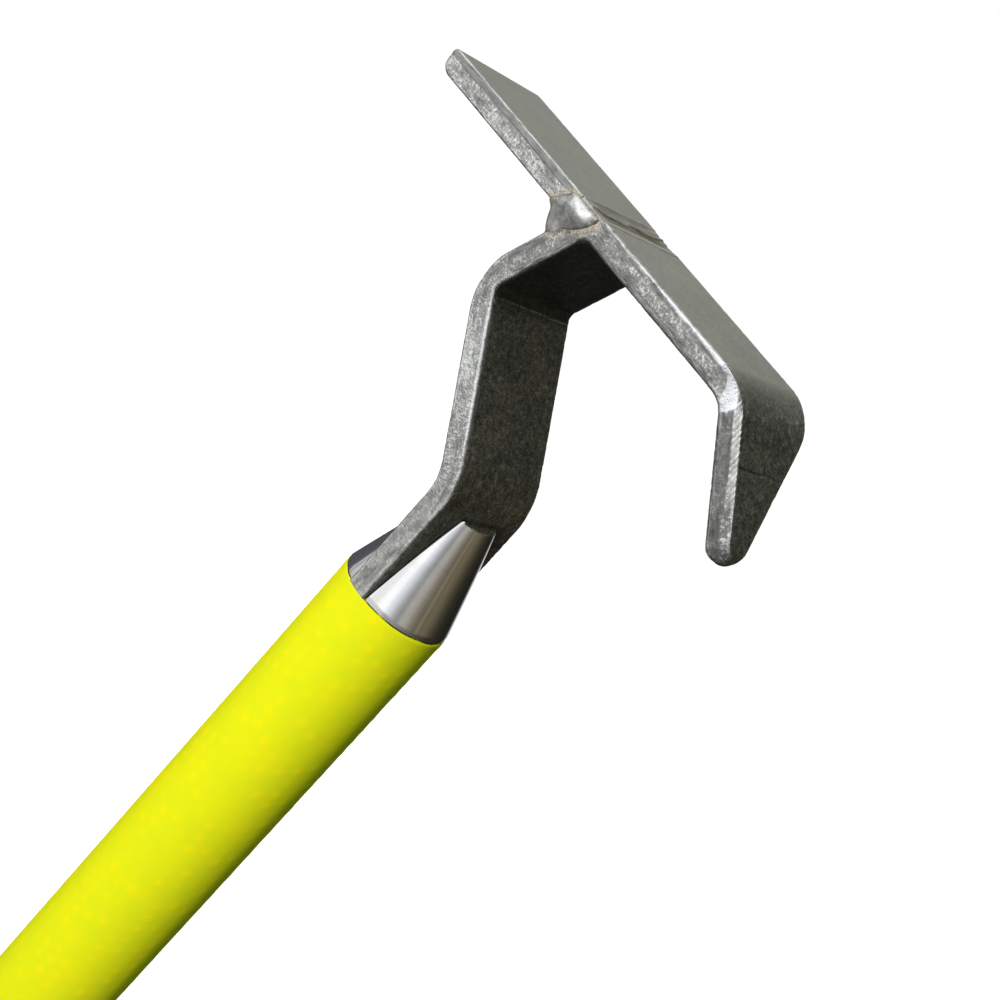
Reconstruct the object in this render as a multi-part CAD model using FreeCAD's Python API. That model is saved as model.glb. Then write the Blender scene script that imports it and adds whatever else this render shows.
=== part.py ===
import FreeCAD, Part
import math
import os

from FreeCAD import Vector

# A firefighter's multi-purpose roof hook, in millimetres.
# The pole stands along +Z with the butt's bottom face at the origin. The head is at the top.
# The claw points to +X, the prying blade to -X, and the bar's width lies along Y.

# Overall sizes
overall_length = 914.4             # butt to the crest of the head
pole_diameter = 38.1
bar_width = 38.1
bar_thickness = 7.94

# The hook bar, bent from one flat bar. Lengths run from corner to corner along its middle line.
shank_height = 43.0                # from the cone's base to the first corner
neck_length = 60.1
neck_lean = 38.8                   # degrees from the pole's axis, towards the blade
upper_length = 36.2
upper_lean = 23.4                  # degrees from the pole's axis, towards the claw
arm_length = 70.6
claw_length = 52.0                 # before its tip is cut to shape
claw_droop = 46.3                  # degrees below the arm
neck_bend = 20.0                   # bend radii, on the bar's middle line
upper_bend = 14.5
crown_bend = 8.0
claw_bend = 17.0
arris_radius = 0.7                 # rolled corners of the bar's section
tang_width = 22.0                  # the bar is cut narrower where it enters the pole
bar_offset = -0.8                  # the bar's middle stands this far from the pole's axis, in Y
tang_length = 52.0

# The claw's plan, along the claw from the arm's end corner
taper_start = 1.0                  # where the slanting cut leaves the far edge
taper_slope = 0.724                # width lost per length
tip_reach = 46.9                   # the tip's corner, before rounding
tip_flat = 5.8                     # length of the cut that takes off the near corner
tip_round = 3.4
near_round = 7.0
taper_round = 38.0                 # where the slanting cut meets the far edge
taper_lead = 15.0                  # the cutting solid starts this far up the bar

# The blade, a straight flat bar in line with the arm
blade_reach = 102.2                # from the pole's axis to the blade's end
blade_skew = 3.0                   # the end is cut this much shorter on the far side
blade_nose = 5.0                   # round under the end
blade_lip = 2.8                    # round above the end
blade_far_round = 4.0              # plan corners
blade_near_round = 1.5
weld_prep = 1.4                    # slant of the blade's root face

# Welds
fillet_run = 9.0                   # leg under the blade
fillet_drop = 8.0                  # leg down the neck
fillet_hollow = 1.4                # how far the face sinks below flat
crest_dip = 0.5
crest_toe = 25.0                   # degrees back from the top of the bend to the weld's edge
return_rise = 1.2                  # weld metal standing on the bar's edges
return_shrink = 0.78               # size of a return's outer face over its foot
return_lap = 2.8                   # how far a return laps over the blade at the crest
return_spread = 6.35               # how far it spreads across the neck
return_stop = 1.0                  # how far short of the arm's straight top it ends
return_low_stop = 3.0              # and how far short at the level of the arm's underside

# The slotted cone that leads the bar out of the pole
cone_height = 35.0
cone_top_radius = 8.5
cone_base_radius = 18.9
cone_land = 1.0                    # straight rim at the base
slot_gap = 0.6                     # clearance beside the bar
spigot_length = 60.0
bond_thickness = 0.4
seal_thickness = 0.6
seal_radius = 18.5

# The pole
tube_outer_radius = 17.45
tube_inner_radius = 14.3
pin_radius = 3.0
head_pin_depths = (15.0, 38.0)     # below the pole's top

# The butt end
cap_height = 8.0
cap_edge_round = 2.0
cap_radius = 18.9
plug_length = 35.0
plug_pin_height = 28.0

# Places that follow from the sizes above
half_width = bar_width / 2
half_thickness = bar_thickness / 2
pole_radius = pole_diameter / 2
spigot_radius = tube_inner_radius - bond_thickness
head_height = (shank_height + neck_length * math.cos(math.radians(neck_lean))
               + upper_length * math.cos(math.radians(upper_lean)) + half_thickness)
cone_base = overall_length - head_height
pole_top = cone_base - seal_thickness
crest = overall_length
underside = crest - bar_thickness
margin = 5.0                       # how far a cutting solid passes the metal it cuts


def heading(degrees):
    """A unit vector in the XZ plane, turned from +Z towards +X."""
    angle = math.radians(degrees)
    return Vector(math.sin(angle), 0, math.cos(angle))


def bent_edges(points, radii):
    """Straight edges through points, with an arc at each inner corner whose radius isn't 0."""
    edges = []
    cursor = points[0]
    for index, radius in enumerate(radii, start=1):
        corner = points[index]
        arriving = (corner - points[index - 1]).normalize()
        leaving = (points[index + 1] - corner).normalize()
        half_turn = arriving.getAngle(leaving) / 2
        tangent = radius * math.tan(half_turn)
        start = corner - arriving * tangent
        edges.append(Part.makeLine(cursor, start))
        cursor = corner + leaving * tangent
        if radius > 0:
            inward = (leaving - arriving).normalize()
            middle = corner + inward * radius * (1 / math.cos(half_turn) - 1)
            edges.append(Part.Arc(start, middle, cursor).toShape())
    edges.append(Part.makeLine(cursor, points[-1]))
    return edges


def face_of(edges):
    return Part.Face(Part.Wire(edges))


def along_width(face, width=bar_width):
    """A face in the XZ plane made into a solid that is centred on the pole's axis in Y."""
    solid = face.extrude(Vector(0, width, 0))
    solid.translate(Vector(0, -width / 2, 0))
    return solid


def bar_corners():
    """The corners of the hook bar's middle line, from the pole's top to the claw's end."""
    corners = [Vector(0, 0, cone_base)]
    legs = ((shank_height, 0), (neck_length, -neck_lean), (upper_length, upper_lean),
            (arm_length, 90), (claw_length, 90 + claw_droop))
    for length, direction in legs:
        corners.append(corners[-1] + heading(direction) * length)
    return corners


def crown_point(degrees):
    """A point on the outside of the bend between neck and arm, turned back from the arm's top."""
    corner = bar_corners()[3]
    reach = crown_bend * math.tan(math.radians(90 - upper_lean) / 2)
    centre = corner + Vector(reach, 0, -crown_bend)
    return centre + heading(-degrees) * (crown_bend + half_thickness)


def root_corner():
    """Where the blade's underside meets the upper neck's left face."""
    face_top = crown_point(90 - upper_lean)
    drop = face_top.z - underside
    return face_top - heading(upper_lean) * (drop / math.cos(math.radians(upper_lean)))


def claw_waste():
    """What is cut away beside the claw: the slanting far side and the rounded tip."""
    vertex = bar_corners()[4]
    along = heading(90 + claw_droop)
    normal = heading(claw_droop)

    def place(reach, across):
        return vertex + along * reach + Vector(0, across, 0)

    tip_across = half_width - taper_slope * (tip_reach - taper_start)
    near_reach = tip_reach - tip_flat
    outline = [
        place(-taper_lead, half_width + margin),
        place(-taper_lead, half_width),
        place(taper_start, half_width),
        place(tip_reach, tip_across),
        place(near_reach, -half_width),
        place(near_reach - margin, -half_width),
        place(near_reach - margin, -half_width - margin),
        place(claw_length + margin, -half_width - margin),
        place(claw_length + margin, half_width + margin),
        place(-taper_lead, half_width + margin),
    ]
    waste = face_of(bent_edges(outline, [0, taper_round, tip_round, near_round, 0, 0, 0, 0]))
    waste.translate(normal * -2 * bar_thickness)
    return waste.extrude(normal * 3 * bar_thickness)


def hook_bar():
    """Tang, shank, neck, arm and claw, bent from one flat bar."""
    corners = bar_corners()
    corners[0] = corners[0] - Vector(0, 0, tang_length)
    path = Part.Wire(bent_edges(corners, [neck_bend, upper_bend, crown_bend, claw_bend]))
    low = corners[0] - Vector(half_thickness, half_width, 0)
    across = Vector(bar_thickness, 0, 0)
    deep = Vector(0, bar_width, 0)
    start = low + across / 2       # half way along a side, so that all four corners get their arc
    ring = [start, low + across, low + across + deep, low + deep, low, start]
    section = Part.Wire(bent_edges(ring, [arris_radius] * 4))
    bar = path.makePipeShell([section], True, False)
    shoulder = Part.makeBox(2 * margin + bar_thickness, bar_width, tang_length + margin)
    shoulder.translate(Vector(-margin - half_thickness, tang_width / 2, cone_base - tang_length - margin))
    mirrored = shoulder.mirror(Vector(0, 0, 0), Vector(0, 1, 0))
    return bar.cut([shoulder, mirrored, claw_waste()])


def blade_plate():
    """The prying blade, with a rounded end and a slanting root face for the weld."""
    root = root_corner()
    end = -blade_reach
    root_top = Vector(root.x - weld_prep, 0, crest)
    side = [root, Vector(end, 0, underside), Vector(end, 0, crest), root_top, root]
    plate = along_width(face_of(bent_edges(side, [blade_nose, blade_lip, 0])))
    plan = [
        Vector(0, -half_width, underside),
        Vector(end, -half_width, underside),
        Vector(end + blade_skew, half_width, underside),
        Vector(0, half_width, underside),
        Vector(0, -half_width, underside),
    ]
    outline = face_of(bent_edges(plan, [blade_near_round, blade_far_round, 0]))
    return plate.common(outline.extrude(Vector(0, 0, bar_thickness)))


def fillet_edges():
    """The section of the weld under the blade: two legs and a hollow face."""
    root = root_corner()
    blade_toe = root - Vector(fillet_run, 0, 0)
    neck_toe = root - heading(upper_lean) * fillet_drop
    inward = (root - (blade_toe + neck_toe) * 0.5).normalize()
    middle = (blade_toe + neck_toe) * 0.5 + inward * fillet_hollow
    face = Part.Arc(neck_toe, middle, blade_toe).toShape()
    return blade_toe, neck_toe, face


def blade_fillet_weld():
    root = root_corner()
    blade_toe, neck_toe, face = fillet_edges()
    return along_width(face_of([Part.makeLine(blade_toe, root), Part.makeLine(root, neck_toe), face]))


def crest_weld():
    """The weld that fills the groove between the blade's root and the bend, across the crest."""
    root = root_corner()
    blade_top = Vector(root.x - weld_prep, 0, crest)
    low_angle = 90 - upper_lean
    crown_toe = crown_point(crest_toe)
    dip = (blade_top + crown_toe) * 0.5 - Vector(0, 0, crest_dip)
    edges = [
        Part.makeLine(root, blade_top),
        Part.Arc(blade_top, dip, crown_toe).toShape(),
        Part.Arc(crown_toe, crown_point((crest_toe + low_angle) / 2), crown_point(low_angle)).toShape(),
        Part.makeLine(crown_point(low_angle), root),
    ]
    return along_width(face_of(edges))


def weld_returns():
    """Weld metal carried round onto both edges of the joint."""
    blade_toe, neck_toe, face = fillet_edges()
    arm_start = crown_point(0).x
    corners = [
        blade_toe,
        Vector(root_corner().x - return_lap, 0, crest),
        Vector(arm_start - return_stop, 0, crest),
        Vector(arm_start - return_low_stop, 0, underside),
        neck_toe + heading(90 + upper_lean) * return_spread,
        neck_toe,
    ]
    foot = Part.Wire([Part.makeLine(a, b) for a, b in zip(corners, corners[1:])] + [face])
    centre = foot.CenterOfMass
    outer = foot.copy()
    outer.translate(-centre)
    outer.scale(return_shrink)
    outer.translate(centre + Vector(0, -return_rise, 0))
    near = Part.makeLoft([foot, outer], True, True)
    near.translate(Vector(0, -half_width, 0))
    return Part.makeCompound([near, near.mirror(Vector(0, 0, 0), Vector(0, 1, 0))])


def turned(outline):
    """A solid turned about the pole's axis from an outline of (radius, height) corners."""
    points = [Vector(radius, 0, height) for radius, height in outline]
    return Part.Face(Part.makePolygon(points + points[:1])).revolve(Vector(0, 0, 0), Vector(0, 0, 1), 360)


def tube(inner, outer, low, high):
    return turned([(inner, low), (outer, low), (outer, high), (inner, high)])


def rod(radius, low, high):
    return Part.makeCylinder(radius, high - low, Vector(0, 0, low))


def cross_pin(height, length):
    """A pin along X through the pole's axis."""
    return Part.makeCylinder(pin_radius, length, Vector(-length / 2, 0, height), Vector(1, 0, 0))


def head_pin_heights():
    return [pole_top - depth for depth in head_pin_depths]


def head_pins():
    """Two cross pins that hold the tang and the ferrule in the tube, under the sleeve."""
    return Part.makeCompound([cross_pin(height, pin_length()) for height in head_pin_heights()])


def pin_length():
    """As long as the tube is wide where the pin's side comes out, so its ends stay under the sleeve."""
    return 2 * math.sqrt(tube_outer_radius ** 2 - pin_radius ** 2)


def pin_holes(heights):
    return [cross_pin(height, 2 * pole_diameter) for height in heights]


def cone_ferrule():
    """A slotted cone on a spigot that goes down inside the tube."""
    body = turned([
        (0, cone_base - spigot_length),
        (spigot_radius, cone_base - spigot_length),
        (spigot_radius, cone_base),
        (cone_base_radius, cone_base),
        (cone_base_radius, cone_base + cone_land),
        (cone_top_radius, cone_base + cone_height),
        (0, cone_base + cone_height),
    ])
    slot_width = bar_thickness + 2 * slot_gap
    slot = Part.makeBox(slot_width, pole_diameter, cone_height)
    slot.translate(Vector(-slot_width / 2, -pole_radius, cone_base))
    pocket = Part.makeBox(bar_thickness, tang_width, tang_length)
    pocket.translate(Vector(-half_thickness, bar_offset - tang_width / 2, cone_base - tang_length))
    return body.cut([slot, pocket] + pin_holes(head_pin_heights()))


def seal_ring():
    """The thin dark joint between the cone and the pole."""
    return tube(spigot_radius, seal_radius, pole_top, cone_base)


def spigot_bond():
    """The adhesive between the spigot and the tube."""
    bond = tube(spigot_radius, tube_inner_radius, cone_base - spigot_length, pole_top)
    return bond.cut(pin_holes(head_pin_heights()))


def pole_tube():
    wall = tube(tube_inner_radius, tube_outer_radius, cap_height, pole_top)
    return wall.cut(pin_holes(head_pin_heights() + [plug_pin_height]))


def pole_core():
    """The foam that fills the tube between the plug and the spigot."""
    return rod(tube_inner_radius, cap_height + plug_length, cone_base - spigot_length)


def pole_sleeve():
    return tube(tube_outer_radius, pole_radius, cap_height, pole_top)


def butt_plug():
    plug = rod(tube_inner_radius, cap_height, cap_height + plug_length)
    return plug.cut(pin_holes([plug_pin_height]))


def butt_pin():
    return cross_pin(plug_pin_height, pin_length())


def butt_cap():
    """The wear cap that closes the butt."""
    cap = rod(cap_radius, 0, cap_height)
    rim = [edge for edge in cap.Edges if edge.BoundBox.ZMax < cap_height / 2]
    return cap.makeFillet(cap_edge_round, rim)


def main():
    head = {
        "hook_bar": hook_bar(),
        "blade_plate": blade_plate(),
        "blade_fillet_weld": blade_fillet_weld(),
        "crest_weld": crest_weld(),
        "weld_returns": weld_returns(),
    }
    for shape in head.values():
        shape.translate(Vector(0, bar_offset, 0))
    head["hook_bar"] = head["hook_bar"].cut(pin_holes(head_pin_heights()))
    pole = {
        "cone_ferrule": cone_ferrule(),
        "seal_ring": seal_ring(),
        "spigot_bond": spigot_bond(),
        "head_pins": head_pins(),
        "pole_tube": pole_tube(),
        "pole_core": pole_core(),
        "pole_sleeve": pole_sleeve(),
        "butt_plug": butt_plug(),
        "butt_pin": butt_pin(),
        "butt_cap": butt_cap(),
    }
    os.makedirs("parts", exist_ok=True)
    for name, shape in (head | pole).items():
        shape.exportStep(f"parts/{name}.step")
        print(name, "valid" if shape.isValid() else "INVALID", len(shape.Solids), round(shape.Volume))


main()
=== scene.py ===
from math import atan2, ceil, cos, exp, floor, hypot, pi, radians, sin, sqrt, tan
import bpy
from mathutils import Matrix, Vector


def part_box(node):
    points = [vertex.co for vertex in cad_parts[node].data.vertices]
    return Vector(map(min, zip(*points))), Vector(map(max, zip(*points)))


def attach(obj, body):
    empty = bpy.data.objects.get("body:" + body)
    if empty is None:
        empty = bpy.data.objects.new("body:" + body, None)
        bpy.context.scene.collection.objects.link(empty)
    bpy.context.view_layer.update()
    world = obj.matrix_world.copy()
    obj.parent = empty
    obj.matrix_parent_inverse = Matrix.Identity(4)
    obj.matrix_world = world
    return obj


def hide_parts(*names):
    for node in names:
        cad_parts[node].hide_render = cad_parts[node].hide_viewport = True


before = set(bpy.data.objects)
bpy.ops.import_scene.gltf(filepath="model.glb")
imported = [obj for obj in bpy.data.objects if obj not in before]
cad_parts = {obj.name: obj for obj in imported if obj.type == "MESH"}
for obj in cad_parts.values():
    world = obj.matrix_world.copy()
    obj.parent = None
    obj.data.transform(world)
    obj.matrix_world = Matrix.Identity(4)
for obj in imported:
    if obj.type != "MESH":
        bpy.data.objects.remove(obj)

from types import SimpleNamespace

import bmesh
import bpy
from mathutils import Matrix, Vector, noise

# A firefighter's multi-purpose roof hook. Lengths here are in millimetres, angles in degrees.
# The pole stands along +Z. The claw points to +X, the blade to -X, and the bar's width lies along Y.
MM = 0.001
X, Y, Z = 0, 1, 2
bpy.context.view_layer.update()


def span(node, axis):
    """The lowest and highest place of a CAD node along one axis."""
    low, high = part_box(node)
    return low[axis] / MM, high[axis] / MM


# Sizes read from the frame
near_side, far_side = span("hook_bar", Y)
underside, crest = span("blade_plate", Z)
blade_end = span("blade_plate", X)[0]
cone_base = span("seal_ring", Z)[1]
pole_top = span("pole_sleeve", Z)[1]
cap_top = span("butt_cap", Z)[1]
cap_radius = span("butt_cap", X)[1]
pole_radius = span("pole_sleeve", X)[1]
tube_radius = span("pole_tube", X)[1]
seal_radius = span("seal_ring", X)[1]
spigot_low, cone_top = span("cone_ferrule", Z)
spigot_radius = span("spigot_bond", X)[1]
cone_radius = span("cone_ferrule", X)[1]
tang_low = span("hook_bar", Z)[0]
root = Vector((span("blade_fillet_weld", X)[1], 0, underside))
half_thickness = (crest - underside) / 2
middle_y = (near_side + far_side) / 2
half_width = (far_side - near_side) / 2

# The hook bar's middle line, corner to corner, as the design has it
shank_height = 43.0
neck_length = 60.1
neck_lean = 38.8
upper_length = 36.2
upper_lean = 23.4
arm_length = 70.6
claw_droop = 46.3
tang_width = 22.0

# Broken corners of the sections: near-high, far-high, far-low and near-low
bar_breaks = (0.7, 0.7, 0.7, 1.0)
arm_breaks = (0.75, 0.6, 0.9, 1.5)
claw_breaks = (0.5, 0.5, 0.7, 1.2)
blade_breaks = (0.3, 0.4, 0.8, 0.55)
tip_softening = 1.1  # added to every break at the claw's tip

# Each bend: radius on the middle line, radius inside the corner, and metal drawn off outside it
bends = (
    SimpleNamespace(radius=20.0, inner=16.0, drawn=0.2),
    SimpleNamespace(radius=14.5, inner=3.0, drawn=0.3),
    SimpleNamespace(radius=8.0, inner=3.2, drawn=0.1),
    SimpleNamespace(radius=17.0, inner=9.5, drawn=0.25),
)

# Spacing of the bar's rings, on its legs and where the shape changes fast
leg_pitch = 0.6
fine_pitch = 0.25

# The claw's plan, along the claw from the arm's end corner
taper_start = 1.0
taper_slope = 0.724
taper_round = 38.0
tip_reach = 46.9
tip_flat = 5.8
tip_round = 3.4
near_round = 7.0
nose_length = 3.6  # the tip's thickness rounds off over this length
bevel_ridge = 1.7  # height of the ground bevel's inner line, from mid-thickness
bevel_depth = 0.9
inner_fall = 0.7  # the other strip of the claw's edge slopes back this much
rubbed_depth = 1.0  # the bend's near edge is rubbed back toward its outside
groove_pitch = 1.82
groove_depth = 0.42
groove_slant = 1.55  # reach that a groove gains per millimetre of thickness
scored_line = 19.6
score_width = 0.40
score_depth = 0.20

# The blade
blade_skew = 3.0
blade_nose = 5.0
blade_lip = 2.8
blade_far_round = 4.0
blade_near_round = 1.5
blade_gap = 1.0  # the blade stops this far short of the joint's line, inside the weld
sheared_band = 2.6  # smooth band under the top corner of the sheared edge

# Welds
stain_reach = 16.0  # the weld's heat stains the steel's edges no further than this from the joint
seam_start = -30.7  # the crest seam's edges, in X
seam_end = -17.6
seam_end_round = 0.9
seam_inset = 0.15  # the seam stops this far inside the bar's edges
pad_rise = 1.8
pad_depth = 3.5  # a pad is closed this far inside the joint
pad_shoulder = 3.8  # round where a pad rolls over onto the crest
fillet_run = 9.0  # along the blade's underside
fillet_drop = 8.0  # down the neck
fillet_hollow = 1.5

# The cone and the sleeve
cone_small_radius = 8.5
cone_spread = 1.17  # the cone's top is this much wider along Y than along X
slot_half = 4.2
slot_edge_round = 1.0  # the slot's edges are rounded this much more at the cone's top
spot_pitch = 5.3
spot_columns = 24
spot_height = 0.13


# ---- outlines and meshes

def heading(degrees):
    """A unit vector in the XZ plane, turned from +Z towards +X."""
    angle = radians(degrees)
    return Vector((sin(angle), 0, cos(angle)))


def ease(value, low, high):
    """0 below low, 1 above high, and smooth between them."""
    if low > high:
        return 1 - ease(value, high, low)
    share = min(max((value - low) / (high - low), 0), 1)
    return share * share * (3 - 2 * share)


def bell(value, middle, width):
    """1 at the middle, falling smoothly to 0 on both sides."""
    return exp(-((value - middle) / width) ** 2)


def round_over(distance, radius):
    """How far a corner of this radius falls away at a distance from its end."""
    if distance >= radius:
        return 0.0
    return radius - sqrt(max(radius * radius - (radius - distance) ** 2, 0))


def end_stops(radius, count=9):
    """Distances from an end, close together where a corner of this radius turns."""
    return [radius * (1 - cos(pi / 2 * step / count)) for step in range(count)]


def grain(x, y, z):
    """Smooth noise from about -1 to 1."""
    return noise.fractal(Vector((x, y, z)), 0.8, 2.1, 3)


def rounded(points, radii):
    """A run of 2-D points with an arc at each inner corner."""
    steps = 12
    line = [Vector(points[0])]
    for index, radius in enumerate(radii, start=1):
        corner = Vector(points[index])
        arriving = (corner - Vector(points[index - 1])).normalized()
        leaving = (Vector(points[index + 1]) - corner).normalized()
        half_turn = arriving.angle(leaving) / 2
        inward = (leaving - arriving).normalized()
        centre = corner + inward * radius / cos(half_turn)
        side = 1 if arriving.cross(leaving) > 0 else -1
        for step in range(steps + 1):
            angle = half_turn * (2 * step / steps - 1) * side
            line.append(centre - Matrix.Rotation(angle, 2) @ inward * radius)
    line.append(Vector(points[-1]))
    return line


def smooth_loop(points):
    """A closed Catmull-Rom curve through a few points."""
    steps = 6
    line = []
    count = len(points)
    for index in range(count):
        a, b, c, d = (Vector(points[(index + shift) % count]) for shift in (-1, 0, 1, 2))
        for step in range(steps):
            t = step / steps
            line.append(0.5 * ((2 * b) + (c - a) * t + (2 * a - 5 * b + 4 * c - d) * t ** 2
                               + (3 * b - a - 3 * c + d) * t ** 3))
    return line


def skin(rings, ends="caps"):
    """Faces between rings of equal count. Ends are "caps", or "joined" where the last meets the first."""
    count = len(rings[0])
    faces = []
    links = len(rings) if ends == "joined" else len(rings) - 1
    for row in range(links):
        low, high = row * count, (row + 1) % len(rings) * count
        for col in range(count):
            after = (col + 1) % count
            faces.append((low + col, low + after, high + after, high + col))
    if ends == "caps":
        faces.append(tuple(reversed(range(count))))
        faces.append(tuple(range((len(rings) - 1) * count, len(rings) * count)))
    return [point for ring in rings for point in ring], faces


def joined(skins):
    """The points and faces of several skins as one."""
    points, faces = [], []
    for made, links in skins:
        faces += [tuple(index + len(points) for index in face) for face in links]
        points += made
    return points, faces


def add_object(name, data):
    """A new object in the scene."""
    made = bpy.data.objects.new(name, data)
    bpy.context.scene.collection.objects.link(made)
    return made


def make_piece(name, shape, material, replaced, marks=(), sharp=40):
    """A piece of this shape (points and faces) in a slot, standing for the replaced CAD nodes.
    marks has each point's masks, which are 0 where they are left out."""
    points, faces = shape
    mesh = bpy.data.meshes.new(name)
    mesh.from_pydata([Vector(point) * MM for point in points], [], faces)
    for mask in dict.fromkeys(mask for mark in marks for mask in mark):
        if mask == "flat":
            numbers = [number for mark in marks for number in mark[mask]]
            mesh.attributes.new(mask, "FLOAT_VECTOR", "POINT").data.foreach_set("vector", numbers)
        else:
            numbers = [mark.get(mask, 0.0) for mark in marks]
            mesh.attributes.new(mask, "FLOAT", "POINT").data.foreach_set("value", numbers)
    work = bmesh.new()
    work.from_mesh(mesh)
    bmesh.ops.recalc_face_normals(work, faces=work.faces)
    work.to_mesh(mesh)
    work.free()
    mesh.shade_smooth()
    mesh.set_sharp_from_angle(angle=radians(sharp))
    mesh.materials.append(material)
    piece = add_object(name, mesh)
    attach(piece, "root")
    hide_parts(*replaced)


# ---- node graphs

class Graph:
    """Short calls for building a shader node tree."""

    def __init__(self, tree):
        self.tree = tree
        tree.nodes.clear()

    def feed(self, socket, value):
        if isinstance(value, bpy.types.NodeSocket):
            self.tree.links.new(value, socket)
        else:
            socket.default_value = value

    def node(self, kind, inputs=None, **settings):
        made = self.tree.nodes.new(kind)
        for name, value in settings.items():
            setattr(made, name, value)
        for socket, value in (inputs or {}).items():
            self.feed(made.inputs[socket], value)
        return made

    def math(self, operation, a, b=0.0):
        return self.node("ShaderNodeMath", {0: a, 1: b}, operation=operation).outputs[0]

    def chain(self, operation, values):
        total = values[0]
        for value in values[1:]:
            total = self.math(operation, total, value)
        return total

    def add(self, *values):
        return self.chain("ADD", values)

    def times(self, *values):
        return self.chain("MULTIPLY", values)

    def blend(self, share, a, b, kind="MIX"):
        mixer = self.node("ShaderNodeMix", {0: share, 6: a, 7: b}, data_type="RGBA", blend_type=kind)
        return mixer.outputs[2]

    def layers(self, colour, *coats):
        """A colour with coats laid over it in turn, each given as (share, colour)."""
        for share, coat in coats:
            colour = self.blend(share, colour, coat)
        return colour

    def noise(self, place, scale, detail=4.0, roughness=0.55, distortion=0.0):
        inputs = {"Vector": place, "Scale": scale, "Detail": detail, "Roughness": roughness,
                  "Distortion": distortion}
        return self.node("ShaderNodeTexNoise", inputs).outputs["Fac"]

    def step(self, value, low, high):
        """0 where value is low and 1 where it is high, smooth between."""
        inputs = {"Value": value, "From Min": low, "From Max": high}
        return self.node("ShaderNodeMapRange", inputs, interpolation_type="SMOOTHSTEP").outputs[0]

    def stretch(self, place, scale):
        return self.node("ShaderNodeMapping", {"Vector": place, "Scale": scale}).outputs[0]

    def mask(self, name):
        return self.node("ShaderNodeAttribute", attribute_name=name).outputs["Fac"]

    def object_place(self):
        """Where a point lies in the object, in metres."""
        return self.node("ShaderNodeTexCoord").outputs["Object"]

    def flat_place(self):
        """Where a point lies on the piece in millimetres: along it, through it and across it."""
        return self.node("ShaderNodeAttribute", attribute_name="flat").outputs["Vector"]

    def ramp(self, value, stops):
        """stops are (place, colour)."""
        made = self.node("ShaderNodeValToRGB", {0: value})
        elements = made.color_ramp.elements
        while len(elements) < len(stops):
            elements.new(0.5)
        for element, (place, colour) in zip(elements, stops):
            element.position = place
            element.color = colour
        return made.outputs[0]

    def tones(self, value, shade, *stops):
        """A ramp in one shade, such as mill. stops are (place, lightness)."""
        return self.ramp(value, [(place, shade(lightness)) for place, lightness in stops])

    def bump(self, height, distance, strength=1.0, below=None):
        inputs = {"Height": height, "Distance": distance * MM, "Strength": strength}
        if below is not None:
            inputs["Normal"] = below
        return self.node("ShaderNodeBump", inputs).outputs[0]


def grey(value, warm=0.0):
    """A grey, made browner by warm, or a little blue if warm is negative."""
    return (value * (1 + warm * 0.5), value * (1 + warm * 0.05), value * (1 - warm), 1)


def olive(value):
    """The faintly green grey of rolled steel."""
    return (value * 0.945, value, value * 0.87, 1)


def mill(value):
    """The clean grey of sheared steel."""
    return (value * 0.985, value, value * 0.955, 1)


def new_material(name, **uniform):
    """A material, its graph, and a call that feeds the sockets of its Principled shader by name."""
    made = bpy.data.materials.new(name)
    made.use_nodes = True
    g = Graph(made.node_tree)
    shader = g.node("ShaderNodeBsdfPrincipled")
    g.node("ShaderNodeOutputMaterial", {"Surface": shader.outputs[0]})

    def dress(**values):
        for socket, value in values.items():
            g.feed(shader.inputs[socket.replace("_", " ")], value)

    dress(**uniform)
    return made, g, dress


# ---- finishes

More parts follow.
